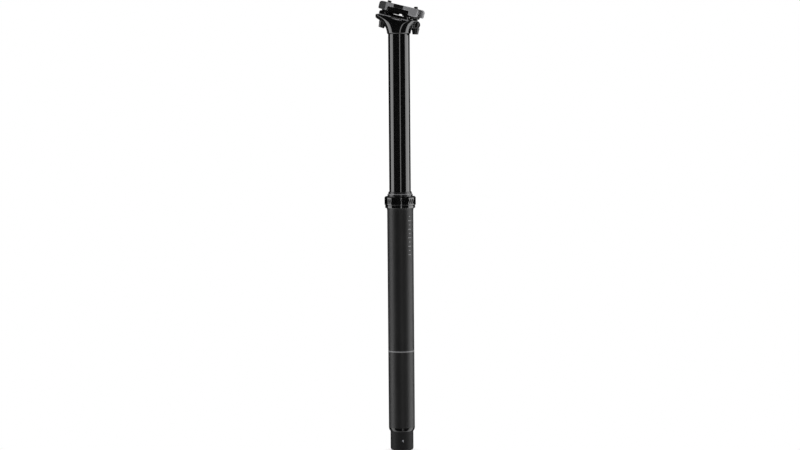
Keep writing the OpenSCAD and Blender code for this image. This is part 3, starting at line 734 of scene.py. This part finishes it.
def head_skin(levels=60, sides=208):
    """Spigot that sits in the upper tube, and above it the flared outside of the head."""
    shape = bmesh.new()
    height = ARM_TOP + SPARE_TOP
    plan = [(-SPIGOT_DEPTH, SPIGOT_R, 0), (0, SPIGOT_R, 0)]
    plan += [(height * i / levels, STANCHION_R, i / levels) for i in range(levels + 1)]
    rows = []
    for h, r, share in plan:
        blunt = 2 / (2 + SQUARENESS * share)
        row = []
        for k in range(sides):
            t = 2 * math.pi * k / sides
            c, s = math.cos(t), math.sin(t)
            along = r + neck(h) + sweep(max(h, 0), REAR_SWEEP if c < 0 else FRONT_SWEEP)
            wide = r + neck(h) + sweep(max(h, 0), SIDE_SWEEP)
            x = along * math.copysign(abs(c) ** blunt, c)
            y = wide * math.copysign(abs(s) ** blunt, s)
            row.append(shape.verts.new(Vector((x, y, STANCHION_TOP + h)) * MM))
        rows.append(row)
    for low, high in zip(rows, rows[1:]):
        for k in range(sides):
            n = (k + 1) % sides
            shape.faces.new((low[k], low[n], high[n], high[k]))
    shape.faces.new(rows[0])
    shape.faces.new(rows[-1])
    bmesh.ops.recalc_face_normals(shape, faces=shape.faces)
    return mesh_object("head_forging", shape)


head = head_skin()
print("Loft of", len(head.data.vertices), "points")

# %% [markdown]
# A forging is finished by milling and drilling, and the same is done here: rods and blocks are added or
# cut away one after the other, each in the tilted place of the seat or along the line of its bolt.

# %% Tools that cut
def rod(r, low, high, place, segments=128):
    return lathe("tool", [(0, low), (r, low), (r, high), (0, high)], segments, place)


def prism(outline, width, place):
    """Side view outline in mm, as wide as given, put in place."""
    shape = bmesh.new()
    walls = []
    for y in (-width / 2, width / 2):
        walls.append([shape.verts.new(Vector((p[0], y, p[1])) * MM) for p in outline])
    shape.faces.new(walls[0])
    shape.faces.new(list(reversed(walls[1])))
    for k in range(len(outline)):
        n = (k + 1) % len(outline)
        shape.faces.new((walls[0][k], walls[1][k], walls[1][n], walls[0][n]))
    bmesh.ops.recalc_face_normals(shape, faces=shape.faces)
    shape.transform(place)
    return mesh_object("tool", shape)


def combine(piece, tool, how):
    work = piece.modifiers.new("work", "BOOLEAN")
    work.operation = how
    work.solver = "EXACT"
    work.object = tool
    evaluated_mesh(piece)
    bpy.data.objects.remove(tool)
    return piece


AT_HEAD = side_place(SEAT, math.radians(HEAD_TILT))
AT_ARM = side_place((0, STANCHION_TOP + ARM_TOP))
ACROSS = Matrix.Rotation(math.pi / 2, 4, "X")
FAR = 100


def block(low, high):
    return [(-FAR, low), (FAR, low), (FAR, high), (-FAR, high)]


print("Tools reach", FAR, "mm to each side")

# %% Front ear
EAR_RISE = 1


def front_ear(steps=24, nose_steps=32):
    """Block below the seat that carries the front bolt, round in the side view and in plan."""
    root, end = Vector((0, -EAR_DROP - EAR_RISE)), Vector((EAR_SPREAD, -EAR_DROP))
    slope = math.atan2(EAR_RISE, EAR_SPREAD)
    upwards = EAR_R * Vector((-math.sin(slope), math.cos(slope)))
    outline = [root - upwards]
    for k in range(steps + 1):
        t = -math.pi / 2 + slope + math.pi * k / steps
        outline.append(end + EAR_R * Vector((math.cos(t), math.sin(t))))
    outline.append(root + upwards)
    half = EAR_W / 2
    nose = EAR_SPREAD + EAR_R - half
    plan = [(0, -half), (nose, -half)]
    for t in np.linspace(-math.pi / 2, math.pi / 2, nose_steps + 1)[1:-1]:
        plan.append((nose + half * math.cos(t), half * math.sin(t)))
    plan += [(nose, half), (0, half)]
    ear = prism(outline, EAR_W, AT_HEAD)
    return combine(ear, prism(plan, FAR, AT_HEAD @ Matrix.Rotation(-math.pi / 2, 4, "X")), "INTERSECT")


HEAD_LOW, HEAD_HIGH = STANCHION_TOP - 20, STANCHION_TOP + FAR
combine(head, prism(block(HEAD_LOW, HEAD_HIGH), HEAD_W, Matrix()), "INTERSECT")
combine(head, rod(ARM_REACH, HEAD_LOW, HEAD_HIGH, Matrix(), 256), "INTERSECT")
combine(head, front_ear(), "UNION")
print("Head with its ear has", len(head.data.polygons), "faces")

# %% Pockets, seats and bores
POCKET_R, POCKET_DEPTH = 5.8, {"rear": 16, "front": 10}
BOSS_HALF = EAR_W / 2 - 1
SLOT_R, SLOT_REACH, SWINGS = 2.9, 40, (-4, 0, 6)
HOLLOW_R, HOLLOW_DEPTH, HOLLOW_TOP = 7.98, 13, 5
for side, word in SIDES:
    pivot, turn, reach = bolt_line(side)
    combine(head, rod(POCKET_R, -POCKET_DEPTH[word], 0, side_place(pivot, turn)), "DIFFERENCE")
for side, word in SIDES:
    boss = AT_HEAD @ side_place((side * EAR_SPREAD, -EAR_DROP)) @ ACROSS
    combine(head, rod(EAR_R, -BOSS_HALF, BOSS_HALF, boss), "UNION")
combine(head, prism(block(0, FAR), 2 * FAR, AT_HEAD), "DIFFERENCE")
combine(head, prism(block(0, FAR), 2 * FAR, AT_ARM), "DIFFERENCE")
combine(head, rod(CRADLE_R, -FAR, FAR, side_place(CRADLE_AXIS) @ ACROSS, 256), "DIFFERENCE")
for side, word in SIDES:
    pivot, turn, reach = bolt_line(side)
    for swing in SWINGS:
        slot = side_place(pivot, turn + math.radians(swing))
        combine(head, rod(SLOT_R, -SLOT_REACH, SLOT_REACH, slot, 64), "DIFFERENCE")
hollow = rod(HOLLOW_R, STANCHION_TOP - HOLLOW_DEPTH, STANCHION_TOP + HOLLOW_TOP, Matrix())
combine(head, hollow, "DIFFERENCE")
print("Head is cut to", [round(v / MM, 2) for v in head.dimensions], "mm")
dress(soften(head, voxel=0.3, fillet=0.9, rounds=24), "upper", "gloss_black", "head")

# %% [markdown]
# ## Painted shade and highlight on the clamp
# The upper clamp's outer beams are a light grey. Painted shade makes them darker at the rear, and makes the
# bridge between them, the windows below the bars and the waist of the bars black. No edge of the shape parts
# these tones, so they are marks in the material. The clamp is tilted, so the marks are measured along its
# own
# axes: a Mapping node turns the place back before they read it. A painted highlight, a light mark along the
# cradle's lower edges, shows as a thin line above the head.

# %% Clamp marks
BEAM_GAP, WINDOW_W, WINDOW_LEN, WINDOW_TOP = 33.6, 45.2, 26.4, 10.0
WAIST, TAIL, TAIL_LEN = 11.4, -19.5, 9.0
HIGHLIGHT_EDGES, HIGHLIGHT_LINE_WIDTH = [(-13, 14, -1.1), (0, 13, -2.8), (13, 14, -1.1)], 1.1
# Colours of the painted shade on the clamp and of the painted highlight on the cradle's edges.
TAIL_SHADE, PAINTED_SHADE, EDGE_HIGHLIGHT, EDGE_HIGHLIGHT_ROUGH = grey(0.04), grey(0.003), grey(0.08), 0.3
clamp_place = CRADLE_AXIS + lean((0, CRADLE_DIP - CRADLE_R), CLAMP_TILT)
AT_CLAMP = side_place(clamp_place, math.radians(CLAMP_TILT))
window = {"x": (0, WINDOW_LEN), "y": (0, WINDOW_W), "z": (0, 2 * WINDOW_TOP)}
# Painted shade: the rear end of the clamp is darker.
mark_finish("clamp_grey", TAIL_SHADE, own=AT_CLAMP, x=(TAIL, TAIL_LEN))
# Painted shade: the bridge between the beams is black.
mark_finish("clamp_grey", PAINTED_SHADE, own=AT_CLAMP, y=(0, BEAM_GAP))
# Painted shade: the windows below the bars are black.
mark_finish("clamp_grey", PAINTED_SHADE, own=AT_CLAMP, **window)
# Painted shade: the waist of the bars is black.
mark_finish("clamp_grey", PAINTED_SHADE, own=AT_CLAMP, x=(0, WAIST))
# Painted highlight: thin light lines along the cradle's lower edges.
for middle, length, height in HIGHLIGHT_EDGES:
    spans = {"x": (middle, length), "z": (height, HIGHLIGHT_LINE_WIDTH)}
    mark_finish("cradle_black", EDGE_HIGHLIGHT, EDGE_HIGHLIGHT_ROUGH, own=AT_CLAMP, **spans)
print("Black bridge", BEAM_GAP, "mm wide, black waist", WAIST, "mm long")

# %% [markdown]
# ## The knurled collar
# The collar screws onto the lower tube and is turned by hand, so a row of triangles is cut into it for
# grip. Every triangle is the same, which is what Geometry Nodes are for: a circle of points, one triangle
# cutter on each, every second one upside down, and one boolean for them all.

# %% Node tree helpers
def new_tree(name, inputs):
    """Empty node group with named inputs; a modifier sets them by their identifiers."""
    tree = bpy.data.node_groups.new(name, "GeometryNodeTree")
    tree.interface.new_socket("Geometry", in_out="INPUT", socket_type="NodeSocketGeometry")
    sockets = {}
    for label, kind, value in inputs:
        made = tree.interface.new_socket(label, in_out="INPUT", socket_type="NodeSocket" + kind)
        if value is not None:
            made.default_value = value
        sockets[label] = made.identifier
    tree.interface.new_socket("Geometry", in_out="OUTPUT", socket_type="NodeSocketGeometry")
    given = tree.nodes.new("NodeGroupInput")
    result = tree.nodes.new("NodeGroupOutput")
    return tree, sockets, given, result


def step(tree, kind, links=None, **settings):
    """Adds a node, sets its properties and links its inputs by name or number."""
    made = tree.nodes.new(kind)
    for key, value in settings.items():
        setattr(made, key, value)
    for key, source in (links or {}).items():
        if isinstance(source, bpy.types.NodeSocket):
            tree.links.new(source, made.inputs[key])
        else:
            made.inputs[key].default_value = source
    return made


def sums(tree, operation, a, b):
    return step(tree, "ShaderNodeMath", {0: a, 1: b}, operation=operation).outputs[0]


def close_tree(tree, given, result, geometry):
    """Ends a tree with plain geometry that has its material."""
    plain = step(tree, "GeometryNodeRealizeInstances", {"Geometry": geometry})
    painted = step(tree, "GeometryNodeSetMaterial", {
        "Geometry": plain.outputs[0], "Material": given.outputs["Material"],
    })
    tree.links.new(painted.outputs[0], result.inputs[0])


def grow(piece, tree, sockets, values):
    """Runs a node tree on a piece and keeps the result as its plain mesh."""
    modifier = piece.modifiers.new(tree.name, "NODES")
    modifier.node_group = tree
    for label, value in values.items():
        modifier[sockets[label]] = value
    return evaluated_mesh(piece)


print("Node groups so far:", len(bpy.data.node_groups))

# %% Knurl tree
UNIT_HEIGHT, UNIT_SIDE = 1.5, 1.732
CUTTER_LEN = 4 * MM


def knurl_tree():
    """Cuts a row of triangles; one in a circle of radius 1 is UNIT_HEIGHT high and UNIT_SIDE wide."""
    tree, sockets, given, result = new_tree("knurl", [
        ("Count", "Int", 32), ("Radius", "Float", 0.018), ("Height", "Float", 0.005),
        ("Width", "Float", 0.005), ("Middle", "Float", 0.01), ("Material", "Material", None),
    ])
    put = given.outputs
    triangle = step(tree, "GeometryNodeMeshCircle", {"Vertices": 3, "Radius": 1.0}, fill_type="NGON")
    size = step(tree, "ShaderNodeCombineXYZ", {
        0: sums(tree, "DIVIDE", put["Height"], UNIT_HEIGHT),
        1: sums(tree, "DIVIDE", put["Width"], UNIT_SIDE),
        2: 1.0,
    })
    centre = step(tree, "ShaderNodeCombineXYZ", {0: sums(tree, "MULTIPLY", put["Height"], -1 / 6)})
    flat = step(tree, "GeometryNodeTransform", {
        "Geometry": triangle.outputs["Mesh"], "Scale": size.outputs[0], "Translation": centre.outputs[0],
    })
    upright = step(tree, "GeometryNodeTransform", {
        "Geometry": flat.outputs[0], "Rotation": (0.0, -math.pi / 2, 0.0),
    })
    face = step(tree, "GeometryNodeFlipFaces", {"Mesh": upright.outputs[0]})
    cutter = step(tree, "GeometryNodeExtrudeMesh", {
        "Mesh": face.outputs[0], "Offset": (1.0, 0.0, 0.0), "Offset Scale": CUTTER_LEN, "Individual": False,
    })
    solid = step(tree, "GeometryNodeJoinGeometry")
    tree.links.new(cutter.outputs[0], solid.inputs[0])
    tree.links.new(upright.outputs[0], solid.inputs[0])
    whole = step(tree, "GeometryNodeMergeByDistance", {"Geometry": solid.outputs[0], "Distance": WELD})
    points = step(tree, "GeometryNodeMeshLine", {"Count": put["Count"], "Offset": (0.0, 0.0, 0.0)})
    index = step(tree, "GeometryNodeInputIndex").outputs[0]
    angle = sums(tree, "MULTIPLY", index, sums(tree, "DIVIDE", 2 * math.pi, put["Count"]))
    spot = step(tree, "ShaderNodeCombineXYZ", {
        0: sums(tree, "MULTIPLY", sums(tree, "COSINE", angle, 0.0), put["Radius"]),
        1: sums(tree, "MULTIPLY", sums(tree, "SINE", angle, 0.0), put["Radius"]),
        2: put["Middle"],
    })
    placed = step(tree, "GeometryNodeSetPosition", {
        "Geometry": points.outputs[0], "Position": spot.outputs[0],
    })
    upside = sums(tree, "MULTIPLY", sums(tree, "MODULO", index, 2.0), math.pi)
    turn = step(tree, "ShaderNodeCombineXYZ", {0: upside, 2: angle})
    row = step(tree, "GeometryNodeInstanceOnPoints", {
        "Points": placed.outputs[0], "Instance": whole.outputs[0], "Rotation": turn.outputs[0],
    })
    cut = step(tree, "GeometryNodeMeshBoolean", operation="DIFFERENCE", solver="EXACT")
    tree.links.new(put["Geometry"], cut.inputs["Mesh 1"])
    loose = step(tree, "GeometryNodeRealizeInstances", {"Geometry": row.outputs[0]})
    tree.links.new(loose.outputs[0], cut.inputs["Mesh 2"])
    close_tree(tree, given, result, cut.outputs[0])
    return tree, sockets


print("One cutter is", CUTTER_LEN / MM, "mm long")

# %% Collar
COLLAR_R, RIM_R, RIM_TOP = 18.45, 17.7, 6.9
GROOVE_DEPTH, GROOVE_H, RIM_CHAMFER, COLLAR_CHAMFER = 0.5, 0.5, 0.3, 1.2
KNURL_DEPTH, KNURL_H, KNURL_COUNT, KNURL_FILL = 0.8, 5.8, 32, 0.72
BAND_LOW, BAND_TOP = RIM_TOP + GROOVE_H, COLLAR_TOP - COLLAR_CHAMFER
COLLAR_BORE, WIPER_BORE = NECK_R + 0.02, WIPER_R + 0.05
collar_outline = [
    (COLLAR_BORE, FLARE_H), (RIM_R, FLARE_H, 0.5), (RIM_R, RIM_TOP - RIM_CHAMFER, 0.1),
    (RIM_R - GROOVE_DEPTH, RIM_TOP, 0.05), (RIM_R - GROOVE_DEPTH, BAND_LOW, 0.1),
    (COLLAR_R, BAND_LOW, 0.5), (COLLAR_R, BAND_TOP, 0.4), (COLLAR_R - COLLAR_CHAMFER, COLLAR_TOP, 0.4),
    (WIPER_BORE, COLLAR_TOP, 0.2), (WIPER_BORE, BAND_TOP), (COLLAR_BORE, BAND_TOP),
]
collar = lathe("collar_ring", rounded(collar_outline))
grow(collar, *knurl_tree(), {
    "Count": 2 * KNURL_COUNT, "Radius": (COLLAR_R - KNURL_DEPTH) * MM, "Height": KNURL_H * MM,
    "Width": KNURL_FILL * 2 * math.pi * COLLAR_R / KNURL_COUNT * MM,
    "Middle": (BAND_LOW + BAND_TOP) / 2 * MM, "Material": FINISH["gloss_black"],
})
dress(collar, "lower", "gloss_black", "seal_collar")

# %% [markdown]
# ## Threaded bolts
# Both clamp bolts are turned, with a hexagon socket below and a thread at the tip. The thread is a spiral
# that a small three-sided profile follows, so it belongs to Geometry Nodes as well, and both bolts use
# the same tree with their own length.

# %% Thread tree
RIDGE_SHARE, TURN_STEPS = 0.3, 28


def thread_tree():
    """Winds a ridge around the core of a bolt and joins it to the bolt."""
    tree, sockets, given, result = new_tree("thread", [
        ("Radius", "Float", 0.0023), ("Pitch", "Float", 0.0008), ("Start", "Float", 0.0),
        ("Length", "Float", 0.01), ("Material", "Material", None),
    ])
    put = given.outputs
    turns = sums(tree, "DIVIDE", put["Length"], put["Pitch"])
    path = step(tree, "GeometryNodeCurveSpiral", {
        "Resolution": TURN_STEPS, "Rotations": turns, "Start Radius": put["Radius"],
        "End Radius": put["Radius"], "Height": put["Length"],
    })
    ridge = step(tree, "GeometryNodeCurvePrimitiveCircle", {
        "Resolution": 3, "Radius": sums(tree, "MULTIPLY", put["Pitch"], RIDGE_SHARE),
    })
    swept = step(tree, "GeometryNodeCurveToMesh", {
        "Curve": path.outputs[0], "Profile Curve": ridge.outputs[0], "Fill Caps": True,
    })
    lift = step(tree, "ShaderNodeCombineXYZ", {2: put["Start"]})
    raised = step(tree, "GeometryNodeTransform", {
        "Geometry": swept.outputs[0], "Translation": lift.outputs[0],
    })
    both = step(tree, "GeometryNodeJoinGeometry")
    tree.links.new(raised.outputs[0], both.inputs[0])
    tree.links.new(put["Geometry"], both.inputs[0])
    close_tree(tree, given, result, both.outputs[0])
    return tree, sockets


print("A turn of the thread has", TURN_STEPS, "steps")

# %% Bolts
BOLT_R, BOLT_HEAD_R, BOLT_HEAD_H, BOLT_TIP = 2.5, 4.2, 5.0, 2.4
HEAD_TAPER, TIP_CHAMFER, SEAT_GAP = 0.8, 0.5, 0.02
SOCKET_R, SOCKET_DEPTH = 2.3, 2.6
WASHER_GAP, WASHER_H = 0.05, 1.6
PITCH, THREAD_DEPTH, RIDGE_OUT, THREAD_BELOW_NUT = 0.8, 0.3, 0.06, 4
THREAD_START, THREAD_END = 0.4, 0.8
thread, thread_sockets = thread_tree()
seat = -EAR_R - WASHER_GAP - WASHER_H
bolt_low, head_top, core = seat - BOLT_HEAD_H, seat - SEAT_GAP, BOLT_R - THREAD_DEPTH
for side, word in SIDES:
    pivot, turn, reach = bolt_line(side)
    tip = reach + NUT_R + BOLT_TIP
    thread_low = reach - NUT_R - THREAD_BELOW_NUT
    bolt_outline = [
        (0, bolt_low, 0), (BOLT_HEAD_R - HEAD_TAPER, bolt_low, 0.5), (BOLT_HEAD_R, head_top, 0.3),
        (BOLT_R, head_top, 0.1), (BOLT_R, thread_low, 0.2), (core, thread_low + THREAD_DEPTH, 0.1),
        (core, tip - TIP_CHAMFER, 0.1), (core - TIP_CHAMFER, tip, 0.2), (0, tip, 0),
    ]
    bolt = lathe(word + "_clamp_bolt", rounded(bolt_outline, steps=3), 48)
    combine(bolt, rod(SOCKET_R, bolt_low - 1, bolt_low + SOCKET_DEPTH, Matrix(), 6), "DIFFERENCE")
    grow(bolt, thread, thread_sockets, {
        "Radius": (core + RIDGE_OUT) * MM, "Pitch": PITCH * MM, "Start": (thread_low + THREAD_START) * MM,
        "Length": (tip - thread_low - THREAD_START - THREAD_END) * MM, "Material": FINISH["bolt_black"],
    })
    bolt.data.transform(side_place(pivot, turn))
    dress(bolt, word + "_screw", "bolt_black", word + "_bolt")

# %% [markdown]
# ## Depth ticks
# A plain row of ticks on the lower tube helps to set the post to the same height again. Each tick is a
# hair-thin plate, and every second one is longer. They repeat along a line, so Geometry Nodes make them: a
# line of points, a plate on each, and then all of them are bent around the tube at once.

# %% Tick tree
PLATE_THICK, PLATE_STEPS = 0.06 * MM, 12


def tick_tree():
    """Line of plates, every second one twice as long, bent around the axis of the tube."""
    tree, sockets, given, result = new_tree("ticks", [
        ("Count", "Int", 10), ("Spacing", "Float", 0.005), ("Length", "Float", 0.003),
        ("Thickness", "Float", 0.0005), ("Radius", "Float", 0.01545), ("Top", "Float", -0.006),
        ("Angle", "Float", 0.0), ("Material", "Material", None),
    ])
    put = given.outputs
    down = step(tree, "ShaderNodeCombineXYZ", {2: sums(tree, "MULTIPLY", put["Spacing"], -1.0)})
    start = step(tree, "ShaderNodeCombineXYZ", {2: put["Top"]})
    points = step(tree, "GeometryNodeMeshLine", {
        "Count": put["Count"], "Start Location": start.outputs[0], "Offset": down.outputs[0],
    })
    size = step(tree, "ShaderNodeCombineXYZ", {0: put["Length"], 1: PLATE_THICK, 2: put["Thickness"]})
    plate = step(tree, "GeometryNodeMeshCube", {"Size": size.outputs[0], "Vertices X": PLATE_STEPS})
    index = step(tree, "GeometryNodeInputIndex").outputs[0]
    longer = sums(tree, "ADD", 1.0, sums(tree, "MODULO", index, 2.0))
    stretch = step(tree, "ShaderNodeCombineXYZ", {0: longer, 1: 1.0, 2: 1.0})
    row = step(tree, "GeometryNodeInstanceOnPoints", {
        "Points": points.outputs[0], "Instance": plate.outputs["Mesh"], "Scale": stretch.outputs[0],
    })
    flat = step(tree, "GeometryNodeRealizeInstances", {"Geometry": row.outputs[0]})
    place = step(tree, "GeometryNodeInputPosition").outputs[0]
    parts = step(tree, "ShaderNodeSeparateXYZ", {0: place}).outputs
    angle = sums(tree, "ADD", sums(tree, "DIVIDE", parts[0], put["Radius"]), put["Angle"])
    reach = sums(tree, "ADD", put["Radius"], parts[1])
    bent = step(tree, "ShaderNodeCombineXYZ", {
        0: sums(tree, "MULTIPLY", sums(tree, "COSINE", angle, 0.0), reach),
        1: sums(tree, "MULTIPLY", sums(tree, "SINE", angle, 0.0), reach),
        2: parts[2],
    })
    wrapped = step(tree, "GeometryNodeSetPosition", {
        "Geometry": flat.outputs[0], "Position": bent.outputs[0],
    })
    close_tree(tree, given, result, wrapped.outputs[0])
    return tree, sockets


print("A tick is", round(PLATE_THICK / MM, 2), "mm thick")

# %% Ticks
TICK_COUNT, TICK_STEP, TICK_LEN, TICK_H = 10, 5, 2.2, 0.5
TICK_TOP, TICK_ANGLE = -6, math.radians(-35)
ticks = bpy.data.objects.new("depth_ticks", bpy.data.meshes.new("depth_ticks"))
bpy.context.scene.collection.objects.link(ticks)
grow(ticks, *tick_tree(), {
    "Count": TICK_COUNT, "Spacing": TICK_STEP * MM, "Length": TICK_LEN * MM, "Thickness": TICK_H * MM,
    "Radius": TUBE_R * MM, "Top": TICK_TOP * MM, "Angle": TICK_ANGLE, "Material": FINISH["tick_grey"],
})
dress(ticks, "lower", "matte_black", finish="tick_grey")

# %% [markdown]
# ## What stays from the CAD model
# Nuts, washers, seals, keys and the cartridge are right as they are. They keep their CAD shapes and only
# get their finishes.

# %% Finishes for the carried-over nodes
for row in frame["record"]["subparts"]:
    node = NODES[row["node"]]
    if not node.hide_render:
        node.data.materials.clear()
        node.data.materials.append(FINISH[row["material_slot"]])
print("Dressed", sum(not node.hide_render for node in NODES.values()), "CAD nodes")
